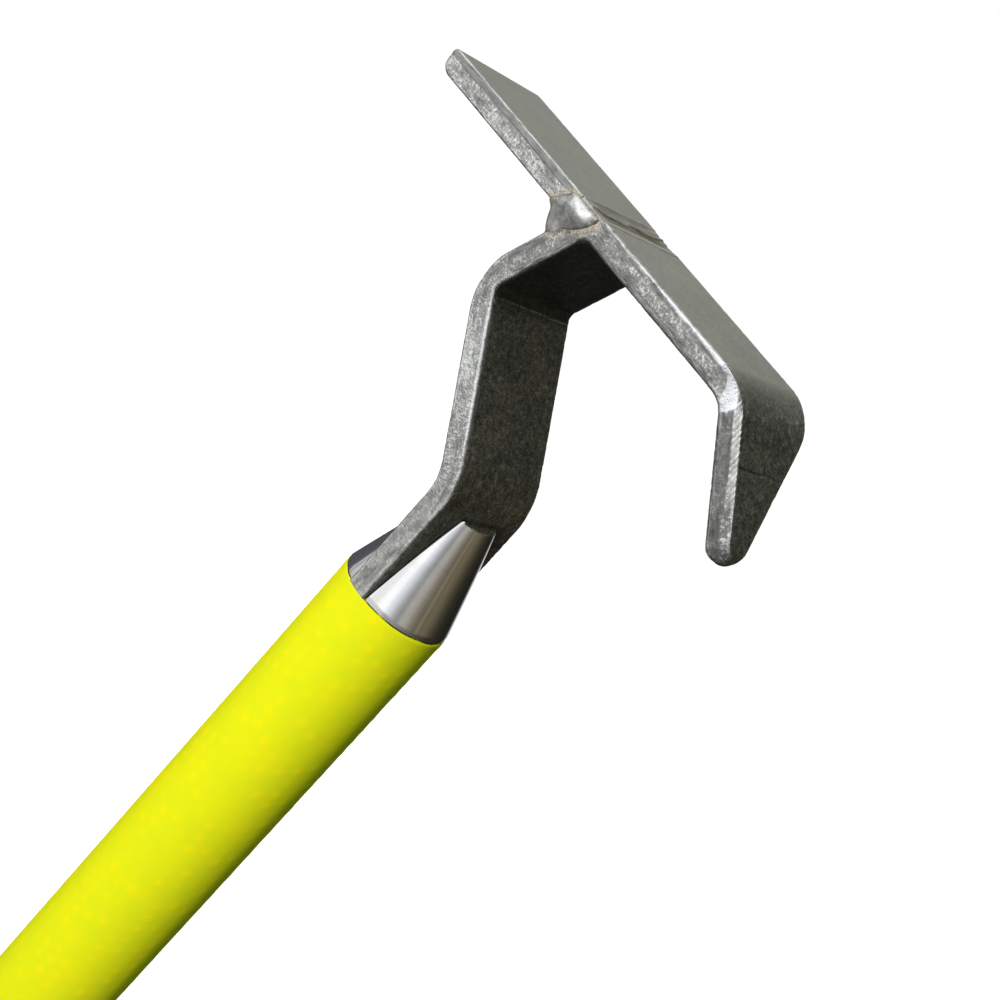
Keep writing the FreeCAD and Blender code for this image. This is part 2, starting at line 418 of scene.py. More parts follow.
def steel(name):
    """Hot-rolled flat bar. Masks say where it is sheared (cut), how pitted (coarse) and light (tone) it is,
    and where it is ground, stained by the weld's heat, made bright (partly rubbed, partly painted highlight)
    or darkened (painted shade, and the scored line)."""
    made, g, dress = new_material(name, Metallic=1.0)
    flat = g.flat_place()
    cut, arris, rub_and_highlight, stain = (g.mask(mask) for mask in ("cut", "arris", "rub_and_highlight", "stain"))
    coarse, tone, ground, painted_shade = (g.mask(mask) for mask in ("coarse", "tone", "ground", "painted_shade"))
    cloud = g.noise(flat, 0.09, 3.0)
    mottle = g.noise(flat, 0.50, 6.0, 0.65)
    fine = g.noise(flat, 1.9, 3.0, 0.65)
    patch = g.noise(g.stretch(flat, (0.45, 1.0, 1.0)), 0.36, 3.0, 0.55)
    streak = g.noise(g.stretch(flat, (0.10, 1.0, 1.0)), 1.9, 4.0, 0.6, 0.4)
    speck = g.noise(g.stretch(flat, (1.25, 0.8, 1.0)), 0.95, 3.0, 0.62, 0.6)
    line = g.math("ABSOLUTE", g.add(g.noise(flat, 0.16, 2.0, 0.4, 0.8), -0.5))
    scratches = g.times(g.step(line, 0.010, 0.003), g.step(g.noise(flat, 0.21, 1.0), 0.45, 0.60))

    face_mix = g.add(g.times(cloud, 0.15), g.times(mottle, 0.40), g.times(fine, 0.45))
    rolled = g.tones(face_mix, olive, (0.36, 0.255), (0.50, 0.33), (0.64, 0.425))
    scaled = g.tones(face_mix, olive, (0.40, 0.13), (0.47, 0.26), (0.53, 0.40), (0.62, 0.80))
    rust = g.times(g.step(cloud, 0.45, 0.62), g.step(mottle, 0.40, 0.62), 0.45)
    scaled = g.blend(rust, scaled, (1.0, 0.86, 0.76, 1), "MULTIPLY")
    scaled = g.blend(g.times(scratches, 0.4), scaled, olive(1.0))
    # This layer paints shade onto the faces, and darkens the scored line.
    face = g.layers(rolled, (coarse, scaled), (g.times(painted_shade, 0.72), olive(0.07)))

    edge_mix = g.add(g.times(streak, 0.30), g.times(patch, 0.40), g.times(mottle, 0.30))
    edge = g.tones(edge_mix, mill, (0.36, 0.34), (0.47, 0.62), (0.57, 0.86), (0.68, 1.0))
    edge = g.blend(1.0, edge, tone, "MULTIPLY")
    light = g.times(coarse, 0.85, g.step(speck, 0.50, 0.62), g.step(patch, 0.36, 0.56))
    dark = g.times(coarse, 0.70, g.step(speck, 0.44, 0.34))
    edge = g.layers(edge, (light, mill(1.0)), (dark, mill(0.22)), (ground, mill(1.0)))
    # Painted highlights: a bright line along the arrises, and bright patches where the rub mask is set,
    # partly rubbed and partly painted highlight.
    painted_glint = g.times(arris, 0.5, g.step(g.add(streak, g.times(fine, 0.3)), 0.55, 0.78))
    rub_and_highlight_mix = g.add(g.times(mottle, 0.6), g.times(fine, 0.4), g.times(rub_and_highlight, 0.25))
    rub_and_glint = g.times(rub_and_highlight, g.step(rub_and_highlight_mix, 0.52, 0.68))
    tint = g.times(stain, 0.75, g.step(mottle, 0.38, 0.56))
    warm = g.ramp(fine, [(0.35, (0.26, 0.18, 0.10, 1)), (0.5, (0.72, 0.62, 0.46, 1)),
                         (0.65, (0.98, 0.92, 0.78, 1))])
    colour = g.layers(face, (cut, edge), (painted_glint, mill(0.95)), (rub_and_glint, grey(0.82, -0.03)), (tint, warm))

    dull = g.add(0.36, g.times(mottle, 0.14), g.times(speck, coarse, 0.12))
    dull = g.add(dull, g.times(ground, -0.20), g.times(rub_and_glint, -0.08))
    skin_bump = g.bump(g.times(g.add(g.times(mottle, 1.6), fine), g.add(0.3, coarse)), 0.08)
    relief = g.times(cut, g.add(g.times(coarse, speck), g.times(streak, 0.22), g.times(patch, 0.4)))
    dress(Base_Color=colour, Roughness=dull, Normal=g.bump(relief, 0.34, 1.0, skin_bump))
    return made


def weld_metal():
    """Smooth weld metal, dark at its toes, with painted highlights in places and tinted brown by heat."""
    made, g, dress = new_material("weld_metal", Metallic=1.0)
    flat = g.flat_place()
    toe, tint, rub_and_highlight = g.mask("toe"), g.mask("stain"), g.mask("rub_and_highlight")
    cloud = g.noise(flat, 0.35, 4.0)
    fine = g.noise(flat, 1.9, 4.0, 0.6)
    streak = g.noise(g.stretch(flat, (1.9, 1.0, 0.10)), 0.9, 4.0, 0.6, 0.6)
    metal_mix = g.add(g.times(cloud, 0.55), g.times(fine, 0.45))
    colour = g.tones(metal_mix, mill, (0.34, 0.26), (0.50, 0.42), (0.66, 0.70))
    heat = g.times(tint, g.step(streak, 0.26, 0.54))
    # Painted highlight where the rub mask is set.
    rub_and_highlight_mix = g.add(g.times(cloud, 0.6), g.times(fine, 0.4), g.times(rub_and_highlight, 0.3))
    rub_and_glint = g.times(rub_and_highlight, g.step(rub_and_highlight_mix, 0.52, 0.95))
    colour = g.layers(colour, (g.mask("rolled"), olive(0.35)), (heat, (0.175, 0.135, 0.075, 1)),
                      (g.times(toe, 0.75), (0.14, 0.10, 0.06, 1)), (rub_and_glint, grey(0.82)))
    relief = g.add(g.times(fine, 0.6), g.times(streak, tint, 2.0))
    dress(Base_Color=colour, Roughness=g.add(0.26, g.times(fine, 0.16), g.times(tint, 0.12)),
          Normal=g.bump(relief, 0.12))
    return made


def polished_steel():
    """The turned and polished cone, with faint turning lines."""
    made, g, dress = new_material("polished_steel", Metallic=1.0)
    place = g.object_place()
    lines = g.noise(g.stretch(place, (40, 40, 2600)), 1.0, 4.0, 0.6)
    haze = g.noise(place, 160.0, 4.0, 0.6)
    lustre = g.add(g.times(lines, 0.3), g.times(haze, 0.7))
    dress(Base_Color=g.tones(lustre, grey, (0.3, 0.82), (0.7, 0.96)),
          Roughness=g.add(0.03, g.times(haze, 0.07), g.times(lines, 0.03)), Normal=g.bump(lines, 0.004))
    return made


def hi_vis_sleeve():
    """Satin high-visibility plastic, warmer on its raised spots and greener between them."""
    made, g, dress = new_material("hi_vis_yellow", Specular_IOR_Level=0.05, Roughness=0.7)
    place = g.object_place()
    cloud = g.noise(place, 90.0, 3.0, 0.5)
    fine = g.noise(place, 900.0, 3.0, 0.5)
    tone = g.add(g.times(g.mask("raised"), 0.45), g.times(cloud, 0.45))
    colour = g.ramp(tone, [(0.12, (0.70, 0.735, 0.009, 1)), (0.40, (0.80, 0.755, 0.007, 1)),
                           (0.85, (0.90, 0.755, 0.004, 1))])
    dress(Base_Color=colour, Normal=g.bump(fine, 0.02, 0.6))
    return made


def speckled(name, dark, light, scale, depth, **uniform):
    """A plain material whose tone and surface vary a little."""
    made, g, dress = new_material(name, **uniform)
    fleck = g.noise(g.object_place(), scale, 5.0, 0.6)
    dress(Base_Color=g.ramp(fleck, [(0.35, dark), (0.65, light)]), Normal=g.bump(fleck, depth))
    return made


def pultruded():
    """Glass and resin, with the fibres running along the pole."""
    made, g, dress = new_material("fibreglass", Roughness=0.35)
    fibre = g.noise(g.stretch(g.object_place(), (900, 900, 12)), 1.0, 5.0, 0.6)
    colour = g.ramp(fibre, [(0.35, (0.52, 0.55, 0.25, 1)), (0.65, (0.72, 0.74, 0.42, 1))])
    dress(Base_Color=colour, Normal=g.bump(fibre, 0.03))
    return made


# ---- the hook bar

def bar_corners(claw_length):
    """The corners of the bar's middle line, from the bottom of its tang to the claw's tip."""
    legs = ((shank_height, 0), (neck_length, -neck_lean), (upper_length, upper_lean),
            (arm_length, 90), (claw_length, 90 + claw_droop))
    corners = [Vector((0, 0, cone_base))]
    for length, direction in legs:
        corners.append(corners[-1] + heading(direction) * length)
    corners[0] = Vector((0, 0, tang_low))
    return corners


def inner_reach(bend, half_turn, swing):
    """From a bend's centre to its inner face, at an angle from the middle of the bend."""
    face = bend.radius - half_thickness
    inner = min(bend.inner, face)
    centre = (face - inner) / cos(half_turn)
    meets = atan2(inner * sin(half_turn), centre + inner * cos(half_turn))
    if abs(swing) > meets:
        return face / cos(half_turn - abs(swing))
    return centre * cos(swing) + sqrt(inner ** 2 - (centre * sin(swing)) ** 2)


def bend_stations(leg, start, outward, half_turn, side, run):
    """Steps round the bend after a leg, from where it starts. side is 1 where outward is its outside."""
    bend = bends[leg]
    centre = start - outward * bend.radius * side
    count = max(int(2 * half_turn * bend.radius / fine_pitch), 8)
    stations = []
    for index in range(1, count):
        swing = half_turn * (2 * index / count - 1)
        turned = Matrix.Rotation((swing + half_turn) * side, 3, "Y") @ outward
        inside = bend.radius - inner_reach(bend, half_turn, swing)
        outside = half_thickness - bend.drawn * cos(swing / half_turn * pi / 2) ** 2
        stations.append(SimpleNamespace(
            leg=leg + 0.5, turn=index / count, reach=swing / half_turn * bend.radius * tan(half_turn),
            run=run + half_turn * bend.radius * (2 * index / count),
            outward=turned, place=centre + turned * bend.radius * side,
            outer=outside if side > 0 else inside, inner=inside if side > 0 else outside))
    return stations


def leg_stops(straight, last):
    """Distances along a leg's straight part. The last leg's steps are fine, and close together at its tip."""
    even = straight - nose_length if last else straight
    count = int(even / (fine_pitch if last else leg_pitch))
    stops = [even * index / count for index in range(count + 1)]
    if last:
        stops += [straight - stop for stop in reversed(end_stops(nose_length, 14))]
    return stops


def bar_stations(claw_length):
    """Steps along the bar: place, outward direction, thickness each way, and the reach along each leg."""
    corners = bar_corners(claw_length)
    directions = [(end - start).normalized() for start, end in zip(corners, corners[1:])]
    stations = []
    tangent_before, run = 0.0, 0.0
    for leg, along in enumerate(directions):
        outward = Vector((-along.z, 0, along.x))
        last = leg == len(bends)
        half_turn = 0.0 if last else along.angle(directions[leg + 1]) / 2
        tangent = 0.0 if last else bends[leg].radius * tan(half_turn)
        straight = (corners[leg + 1] - corners[leg]).length - tangent_before - tangent
        for stop in leg_stops(straight, last):
            reach = tangent_before + stop
            stations.append(SimpleNamespace(
                leg=leg, turn=0.0, reach=reach, run=run + stop, outward=outward,
                place=corners[leg] + along * reach, outer=half_thickness, inner=half_thickness))
        run += straight
        if not last:
            side = 1 if along.cross(directions[leg + 1]).y > 0 else -1
            start = corners[leg + 1] - along * tangent
            stations += bend_stations(leg, start, outward, half_turn, side, run)
            run += 2 * half_turn * bends[leg].radius
            tangent_before = tangent
    return stations


def claw_plan():
    """The claw's far and near edges as (reach, across) lines that meet at the tip."""
    tip_across = half_width - taper_slope * (tip_reach - taper_start)
    near_corner = tip_reach - tip_flat
    back = -3 * half_thickness
    outline = rounded([(back, half_width), (taper_start, half_width), (tip_reach, tip_across),
                       (near_corner, -half_width), (back, -half_width)], [taper_round, tip_round, near_round])
    tip = max(range(len(outline)), key=lambda index: outline[index].x)
    return outline[:tip + 1], outline[:tip - 1:-1]


def across_at(edge, reach):
    """How far across a claw edge lies at a reach, by interpolation along it."""
    for before, after in zip(edge, edge[1:]):
        if before.x <= reach <= after.x:
            share = (reach - before.x) / max(after.x - before.x, 1e-6)
            return before.y + (after.y - before.y) * share
    return edge[0].y if reach < edge[0].x else edge[-1].y


def section(low, high, near, far, radii, side_count=22):
    """A ring round the bar's section. t runs through the thickness and y across the width.
    radii are for the corners near-high, far-high, far-low and near-low."""
    face_count, corner_count = 36, 5
    limit = 0.495 * min(high - low, far - near)
    nh, fh, fl, nl = (min(radius, limit) for radius in radii)
    corners = ((high - nh, near + nh, nh, -90), (high - fh, far - fh, fh, 0),
               (low + fl, far - fl, fl, 90), (low + nl, near + nl, nl, 180))
    sides = (((low + nl, near), (high - nh, near)), ((high, near + nh), (high, far - fh)),
             ((high - fh, far), (low + fl, far)), ((low, far - fl), (low, near + nl)))
    normals = ((0, -1), (1, 0), (0, 1), (-1, 0))
    ring = []
    for index in range(4):
        start, end = (Vector(point) for point in sides[index])
        count = side_count if index % 2 == 0 else face_count
        length = (end - start).length
        for step in range(count):
            share = step / count
            gap = min(share, 1 - share) * length
            place = start.lerp(end, share)
            ring.append(SimpleNamespace(t=place.x, y=place.y, normal=Vector(normals[index]), gap=gap))
        ct, cy, radius, begin = corners[index]
        for step in range(corner_count):
            angle = radians(begin + 90 * step / corner_count)
            normal = Vector((cos(angle), sin(angle)))
            place = Vector((ct, cy)) + normal * radius
            ring.append(SimpleNamespace(t=place.x, y=place.y, normal=normal, gap=0.0))
    return ring


# How pitted and how light the near edge is along each leg
edge_look = ((0.45, 0.63), (0.90, 0.60), (0.70, 0.49), (0.85, 0.54), (0.25, 0.34))


def ridge_height(reach):
    """Where the two strips of the claw's near edge meet, through the thickness."""
    return bevel_ridge + 2.3 * ease(reach, 5, -6) - 1.7 * ease(reach, 18, 44)


def groove_at(point, reach):
    """The file's slanting grooves: 1 at the bottom of one, 0 between them."""
    waver = 0.35 * grain(reach * 0.25, point.t * 0.3, 5.0)
    phase = (reach + groove_slant * point.t + waver) / groove_pitch
    strength = noise.cell(Vector((floor(phase), 0.5, 0.5))) * 0.4 + 0.6
    return strength * ease(abs(2 * (phase % 1) - 1), 0.55, 0.05) * ease(reach, -5, 1) * ease(reach, 32, 24)


def bevel_fall(point, station):
    """How far the claw's near edge is ground back, with the file's slanting grooves in its outer strip."""
    if station.leg < 3.5 or point.normal.y > -0.05:
        return 0.0
    reach = station.reach
    ridge = ridge_height(reach)
    outer = bevel_depth * ease(point.t, ridge - 0.2, station.outer + 0.6)
    inner = inner_fall * ease(point.t, ridge + 0.2, -station.inner - 2)
    strips = (outer + inner) * ease(reach, -5, 4) * ease(reach, 46, 36)
    outward = max(0.0, point.t + station.inner) / half_thickness
    rubbed = rubbed_depth * ease(reach, -7.2, 0) * ease(reach, 7, 2) * outward
    return strips + rubbed + groove_depth * groove_at(point, reach) * ease(point.t, ridge, ridge + 0.4)


def edge_marks(point, station, rough):
    """Masks along the bar's near edge: coarse, tone, ground, and the bright marks that are partly rubbed and
    partly painted highlight.
    """
    leg, reach = station.leg, station.reach
    before, after = edge_look[floor(leg)], edge_look[ceil(leg)]
    turned = ease(station.turn, 0, 1) if leg < 3 else ease(station.turn, 0.55, 0.8)
    coarse, tone = (low + (high - low) * turned for low, high in zip(before, after))
    ground = 0.0
    rub_and_highlight = rub_and_highlight_at(point, station, rough) if point.normal.y < -0.3 else 0.0
    if leg == 1:
        middle = ease(point.t, -3.0, 0.4) * ease(point.t, 4.0, 2.3)
        tone += 0.28 * ease(reach, 14, 34) * ease(reach, 51, 42) * middle
    if leg in (2, 3):
        tone *= 0.62 + 0.38 * ease(point.t, -3.7, -1.0)
        coarse *= ease(point.t, -3.0, -1.2) * (1 - 0.6 * ease(point.t, 1.0, 1.9))
        tone *= 1 - 0.28 * ease(point.t, 0.9, 1.6)
    if leg >= 3.5 and point.normal.y < 0:
        ridge = ridge_height(reach)
        strip = ease(point.t, ridge - 0.1, ridge + 0.3) * ease(reach, -6, -4)
        ground = strip * groove_at(point, reach)
        coarse += 0.4 * strip * ease(reach, 22, 32)
        tone += 0.34 * strip * ease(reach, -4, 0) * ease(reach, 32, 22) + 0.12 * ease(reach, 36, 44)
        # A painted highlight along the ridge between the two strips.
        line = bell(point.t, ridge, 0.3) * ease(reach, 22, 8)
        rub_and_highlight = max(rub_and_highlight * (1 - 0.8 * strip), 0.8 * line * ease(reach, -4, 1))
    return coarse, tone, ground, rub_and_highlight


def face_scale(point, station):
    """How much mill scale the wide faces keep: little on the top of the arm, most inside and on the claw."""
    if point.normal.x < 0:
        return 0.9
    if station.leg == 3.5:
        return 0.1 + 0.8 * ease(station.reach, -6, 5)
    return 0.9 if station.leg > 3.5 else 0.1


def rub_and_highlight_at(point, station, rough):
    """Where the near edge is made bright, partly rubbed and partly painted highlight: along the arm's top, at
    the claw's bend and inside the neck.
    """
    from_outer = station.outer - point.t + 0.35 * rough
    from_inner = point.t + station.inner + 0.20 * rough
    leg, reach = station.leg, station.reach
    if leg == 3:
        width = 0.5 + 0.8 * ease(reach, 12, 58) + 0.5 * grain(reach * 0.22, 6.0, 1.0)
        return ease(from_outer, width + 0.45, width - 0.35) * (0.55 + 0.35 * ease(reach, 10, 50))
    if leg == 3.5:
        width = 1.3 + 6.5 * ease(reach, -6, 2.8)
        return ease(from_outer, width + 1.0, width - 0.8) * ease(reach + 1.1 * rough, 5.4, 4.0)
    if leg == 1:
        specks = ease(grain(reach * 0.7, point.t * 1.6, 3.0), 0.0, 0.2) * ease(from_outer, 3.6, 2.2)
        return max(specks * ease(reach, 12, 30), 0.85 * ease(reach, 2, 14) * ease(from_inner, 1.35, 0.95))
    if leg in (0.5, 1.5):
        return 0.6 * ease(from_inner, 1.2, 0.8)
    return 0.0


def stain_near(x, z, outline):
    """1 at the weld's outline, falling to 0 a short way outside it."""
    nearest = min((Vector((x, z)) - point).length for point in outline)
    return ease(nearest, 2.6, 0.4)


def cone_contact_shadow(point, station):
    """Painted contact shadow on the bar's faces along the edges of the cone's slot: 1 at the cone, falling to
    0 beside it.
    """
    rise = (station.place.z - cone_base) / (cone_top - cone_base)
    if station.leg > 0 or not 0 < rise < 1.1:
        return 0.0
    radius = cone_radius + (cone_small_radius - cone_radius) * rise
    cone_edge = sqrt(radius ** 2 - slot_half ** 2) * (1 + (cone_spread - 1) * rise)
    return abs(point.normal.x) * ease(abs(point.y) - cone_edge, 6.5, 0.3) * ease(rise, 1.08, 0.96)


def bar_limits(station, far_edge, near_edge):
    """The bar's section at a station: its low, high, near and far sides, and its corners' breaks."""
    low, high, near, far = -station.inner, station.outer, -half_width, half_width
    if station.leg >= 3.5:
        left = far_edge[-1].x - station.reach
        shrink = sqrt(max(1 - (1 - min(left / nose_length, 1)) ** 2, 0.0004))
        soft = tip_softening * ease(left, 4, 0.5)
        near = across_at(near_edge, station.reach)
        far = max(across_at(far_edge, station.reach), near + 0.02)
        return low * shrink, high * shrink, near, far, [radius + soft for radius in claw_breaks]
    if station.leg in (2.5, 3):
        return low, high, near, far, arm_breaks
    if station.leg == 0 and station.place.z < cone_base - 0.3:
        near, far = -tang_width / 2, tang_width / 2
    return low, high, near, far, bar_breaks


def line_score(point, station):
    """The line scored across the claw's outer face: 1 in it, 0 beside it."""
    if station.leg != 4 or point.normal.x <= 0.9:
        return 0.0
    return bell(station.reach, scored_line + 0.5 * grain(point.y * 0.12, 2.0, 2.0), score_width)


def bar_mark(point, station, place, rough, score, outline):
    """The steel's masks at one point of the bar."""
    edge = point.normal.y ** 2
    coarse, tone, ground, rub_and_highlight = edge_marks(point, station, rough)
    coarse += (face_scale(point, station) - coarse) * (1 - edge)
    stained = 1.9 < station.leg < 3.2 and abs(place.x - root.x) < stain_reach and edge > 0.3
    # Painted shade: the inner faces of the neck's bend, the upper neck and the upper bend are darkened, and
    # the crease inside the neck's bend gets a painted highlight.
    painted_shade = max(0.0, -point.normal.x) if 1.2 < station.leg < 3 else 0.0
    if station.leg == 1.5:
        rub_and_highlight = max(rub_and_highlight, 0.6 * painted_shade * bell(station.reach, -3.6, 0.6))
        painted_shade *= ease(station.reach, -8, -2)
    # The scored line is darkened, and the bar beside the cone's slot gets a painted contact shadow.
    scored = score * (0.6 + 0.4 * ease(point.y, 0, -half_width))
    return {"cut": edge, "arris": max(0.0, 1 - point.gap / 0.8), "rub_and_highlight": rub_and_highlight,
            "stain": stain_near(place.x, place.z, outline) if stained else 0.0,
            "coarse": coarse, "tone": tone, "ground": ground,
            "painted_shade": max(painted_shade, scored, cone_contact_shadow(point, station)), "flat": (station.run, point.t, point.y)}


def hook_bar():
    """The bent flat bar: tang, shank, neck, arm and tapering claw."""
    far_edge, near_edge = claw_plan()
    outline = pad_outline()
    rings, marks = [], []
    for station in bar_stations(far_edge[-1].x):
        low, high, near, far, radii = bar_limits(station, far_edge, near_edge)
        ring = []
        for point in section(low, high, near, far, radii):
            rough = grain(station.run * 0.9, point.t * 1.3, point.y * 0.9)
            wave = grain(station.run * 0.12, point.t * 0.3, point.y * 0.12 + 9)
            nick = max(0.0, grain(station.run * 0.7, 4.0 + point.normal.x, point.normal.y) - 0.1)
            nick *= max(0.0, 1 - point.gap / 0.8) * min(1.0, high / 2)
            score = line_score(point, station)
            push = 0.045 * rough * point.normal.y ** 2 + 0.05 * wave - 0.22 * nick - score_depth * score
            across = point.y + point.normal.y * push
            across += bevel_fall(point, station) * (far - point.y) / max(far - near, 0.1)
            thick = point.t + point.normal.x * push
            place = station.place + station.outward * thick + Vector((0, middle_y + across, 0))
            ring.append(place)
            marks.append(bar_mark(point, station, place, rough, score, outline))
        rings.append(ring)
    make_piece("hook_bar_steel", skin(rings), steel("bar_steel"), ["hook_bar"], marks)


# ---- the blade

def blade_plate():
    """The straight blade, sheared along its edges and rounded under its end."""
    length = root.x - blade_gap - blade_end
    stops = end_stops(blade_nose)
    steps = int((length - blade_nose) / 0.5)
    stops += [blade_nose + (length - blade_nose) * step / steps for step in range(steps + 1)]
    outline = pad_outline()
    rings, marks = [], []
    for stop in stops:
        low = -half_thickness + round_over(stop, blade_nose)
        high = half_thickness - round_over(stop, blade_lip)
        near = -half_width + round_over(stop, blade_near_round)
        far = half_width - round_over(stop, blade_far_round)
        boundary = half_thickness - sheared_band + 0.35 * grain(stop * 0.09, 1.5, 0.0)
        ring = []
        for point in section(low, high, near, far, blade_breaks, side_count=30):
            edge = point.normal.y ** 2
            sheared = edge * ease(point.t, boundary + 0.15, boundary - 0.25)
            rough = grain(stop * 1.1, point.t * 1.4, point.y)
            arris = max(0.0, 1 - point.gap / 0.6)
            nick = max(0.0, grain(stop * 0.6, 8.0 + point.normal.x, point.normal.y) - 0.15)
            push = (0.09 * rough - 0.14) * sheared + 0.03 * grain(stop * 0.1, point.t * 0.2, point.y * 0.1)
            push -= 0.2 * nick * arris
            skew = blade_skew * (point.y + half_width) / (2 * half_width) * (1 - stop / length)
            place = Vector((blade_end + stop + skew, middle_y + point.y + point.normal.y * push,
                            underside + half_thickness + point.t + point.normal.x * push))
            ring.append(place)
            # On the near edge the rub mask paints a highlight under the top corner, tone has a painted shadow
            # line along the sheared band's boundary, and the top face gets a little painted shade.
            top_corner = ease(half_thickness - point.t, 0.45, 0.15) if point.normal.y < -0.2 else 0.0
            stained = edge > 0.3 and stop > length - stain_reach
            marks.append({"cut": edge, "arris": arris, "rub_and_highlight": 0.65 * top_corner,
                          "stain": stain_near(place.x, place.z, outline) if stained else 0.0,
                          "coarse": sheared if point.normal.x >= 0 else 0.8 - 0.5 * edge + 0.7 * sheared,
                          "tone": 0.45 + 0.28 * sheared - 0.17 * bell(point.t, boundary, 0.35),
                          "painted_shade": 0.10 * max(0.0, point.normal.x), "flat": (stop, point.t, point.y)})
        rings.append(ring)
    make_piece("blade_steel_plate", skin(rings), steel("blade_steel"), ["blade_plate"],
               marks)


# ---- the welds

def pad_outline():
    """The foot of the weld metal on the joint's edge, as (x, z)."""
    corners = ((-2.6, 7.4), (-4.4, 5.8), (-7.4, 2.6), (-9.4, 0.2), (-7.0, -1.5),
               (-5.6, -4.0), (-3.4, -6.6), (-1.0, -6.3), (0.8, -3.4), (4.8, -0.2),
               (7.2, 2.6), (8.6, 5.2), (8.0, 7.0), (5.6, 7.4), (1.0, 7.4))
    return smooth_loop([(root.x + x, root.z + z) for x, z in corners])


def pad_mark(place, share, out, top):
    """The weld's masks at one point of a pad: dark toes, and a painted highlight near its top."""
    painted_glint_from = top - 2.2 - 0.36 * (place.x - root.x + 2)
    painted_glint = ease(place.y, painted_glint_from - 1.0, painted_glint_from + 1.0) * ease(place.x, root.x - 4.5, root.x - 1.5)
    painted_glint *= ease(place.x, root.x + 9.0, root.x + 6.5) * ease(share, 0.0, 0.3)
    return {"toe": ease(share, 0.12, 0.0) * ease(place.y, top - 0.3, top - 1.5),
            "stain": 0.2 * ease(share, 0.35, 0.05), "rolled": ease(place.y, top - 0.5, top),
            "rub_and_highlight": painted_glint, "flat": (place.x, out, place.y)}


def weld_pads():
    """Domed weld metal on both edges of the joint, rolled over at the top to meet the crest weld."""
    outline = pad_outline()
    centre = sum(outline, Vector((0, 0))) / len(outline) + Vector((0, 1.0))
    top = max(point.y for point in outline)
    domes, marks = [], []
    layers = 18
    for side, wall in ((-1, near_side), (1, far_side)):
        rings = []
        for layer in range(-1, layers + 1):
            share = max(layer, 0) / layers
            ring = []
            for foot in outline:
                place = foot.lerp(centre, share)
                swell = 0.25 + 0.75 * ease(place.y + 0.35 * (place.x - root.x), crest - 13, crest - 4)
                risen = 1 - (1 - share) ** 2.4 * (1 - ease(place.y, crest - 3.6, crest - 1.0))
                bump = 0.10 * grain(place.x * 0.35, place.y * 0.35, side * 3.0) * ease(share, 0, 0.3)
                out = pad_rise * swell * risen + bump - round_over(top - place.y, pad_shoulder) - 0.03
                if layer < 0:
                    place = foot.lerp(centre, 0.12)
                    out -= pad_depth
                ring.append(Vector((place.x, wall + side * out, place.y)))
                marks.append(pad_mark(place, share, out, top))
            rings.append(ring)
        domes.append(skin(rings))
    make_piece("weld_return_pads", joined(domes), weld_finish, ["weld_returns"], marks)


def crest_relief(x, y, share, open_part):
    """The crest weld's height above the crest: a rippled hollow, with a ridge on each side and one in it."""
    arch = sin(pi * share)
    hollow = arch ** 1.3 * (1.0 + 0.35 * grain(y * 0.09, 1.0, 6.0)) * open_part
    ripple = 0.30 * grain(x * 0.55, y * 0.07, 2.0) * arch
    inner_ridge = 0.36 + 0.08 * grain(y * 0.11, 8.0, 1.0)
    ridges = 0.14 * bell(share, 0.04, 0.05) + 0.20 * bell(share, 0.95, 0.05)
    return ripple + ridges + 0.25 * bell(share, inner_ridge, 0.05) - hollow


def crest_weld():
    """The weld across the crest, streaked with heat, over its wedge of metal between bar and blade."""
    rows, cols = 96, 34
    rings, marks = [], []
    for row in range(rows + 1):
        y = near_side + seam_inset + (far_side - near_side - 2 * seam_inset) * row / rows
        from_end = min(y - near_side, far_side - y) - seam_inset
        end_fall = round_over(from_end, seam_end_round)
        open_part = 0.35 + 0.65 * ease(from_end, 1.0, 7.0)
        start = seam_start + 0.5 * grain(y * 0.12, 0.0, 1.0)
        stop = seam_end + 0.4 * grain(y * 0.10, 4.0, 1.0)
        hottest = 0.60 + 0.12 * grain(y * 0.08, 3.0, 3.0)
        ring = []
        for col in range(cols + 1):
            share = col / cols
            x = start + (stop - start) * share
            z = crest + crest_relief(x, y, share, open_part) - end_fall
            ring.append(Vector((x, y, z)))
            # A painted highlight along the seam's edge on the arm's side.
            marks.append({"toe": 0.25 * ease(share, 0.03, 0.0), "rub_and_highlight": 0.5 * ease(share, 0.86, 0.95),
                          "stain": bell(share, hottest, 0.26) * ease(from_end, 1.0, 5.0),
                          "rolled": 1.0, "flat": (x, z, y)})
        for x, z in ((stop, crest - 1.6), (root.x + 2.0, root.z), (root.x, root.z), (start, crest - 1.6)):
            ring.append(Vector((x, y, z)))
            marks.append({"rolled": 1.0, "flat": (x, z, y)})
        rings.append(ring)
    make_piece("crest_weld_seam", skin(rings), weld_finish, ["crest_weld"], marks)


def fillet_weld():
    """The hollow fillet under the blade, rippled along its run."""
    arc_steps, rows = 16, 76
    blade_toe = root - Vector((fillet_run, 0, 0))
    neck_toe = root - heading(upper_lean) * fillet_drop
    rings, marks = [], []
    for row in range(rows + 1):
        y = near_side + 0.2 + (far_side - near_side - 0.4) * row / rows
        ring = []
        for step in range(arc_steps + 1):
            share = step / arc_steps
            arch = sin(pi * share)
            place = blade_toe.lerp(neck_toe, share)
            inward = (root - place).normalized()
            ripple = 0.10 * sin(y * 2.1 + 1.2 * arch) + 0.10 * grain(y * 0.3, share * 2, 7.0)
            place = place + inward * (fillet_hollow - ripple) * arch + Vector((0, y, 0))
            ring.append(place)
            marks.append({"toe": ease(min(share, 1 - share), 0.07, 0.0), "stain": 0.2,
                          "flat": (place.x, place.z, y)})
        ring.append(root + Vector((1.0, y, 0.5)))
        marks.append({"flat": (root.x, root.z, y)})
        rings.append(ring)
    make_piece("blade_fillet_bead", skin(rings), weld_finish, ["blade_fillet_weld"], marks)


# ---- the cone, the seal and the pole

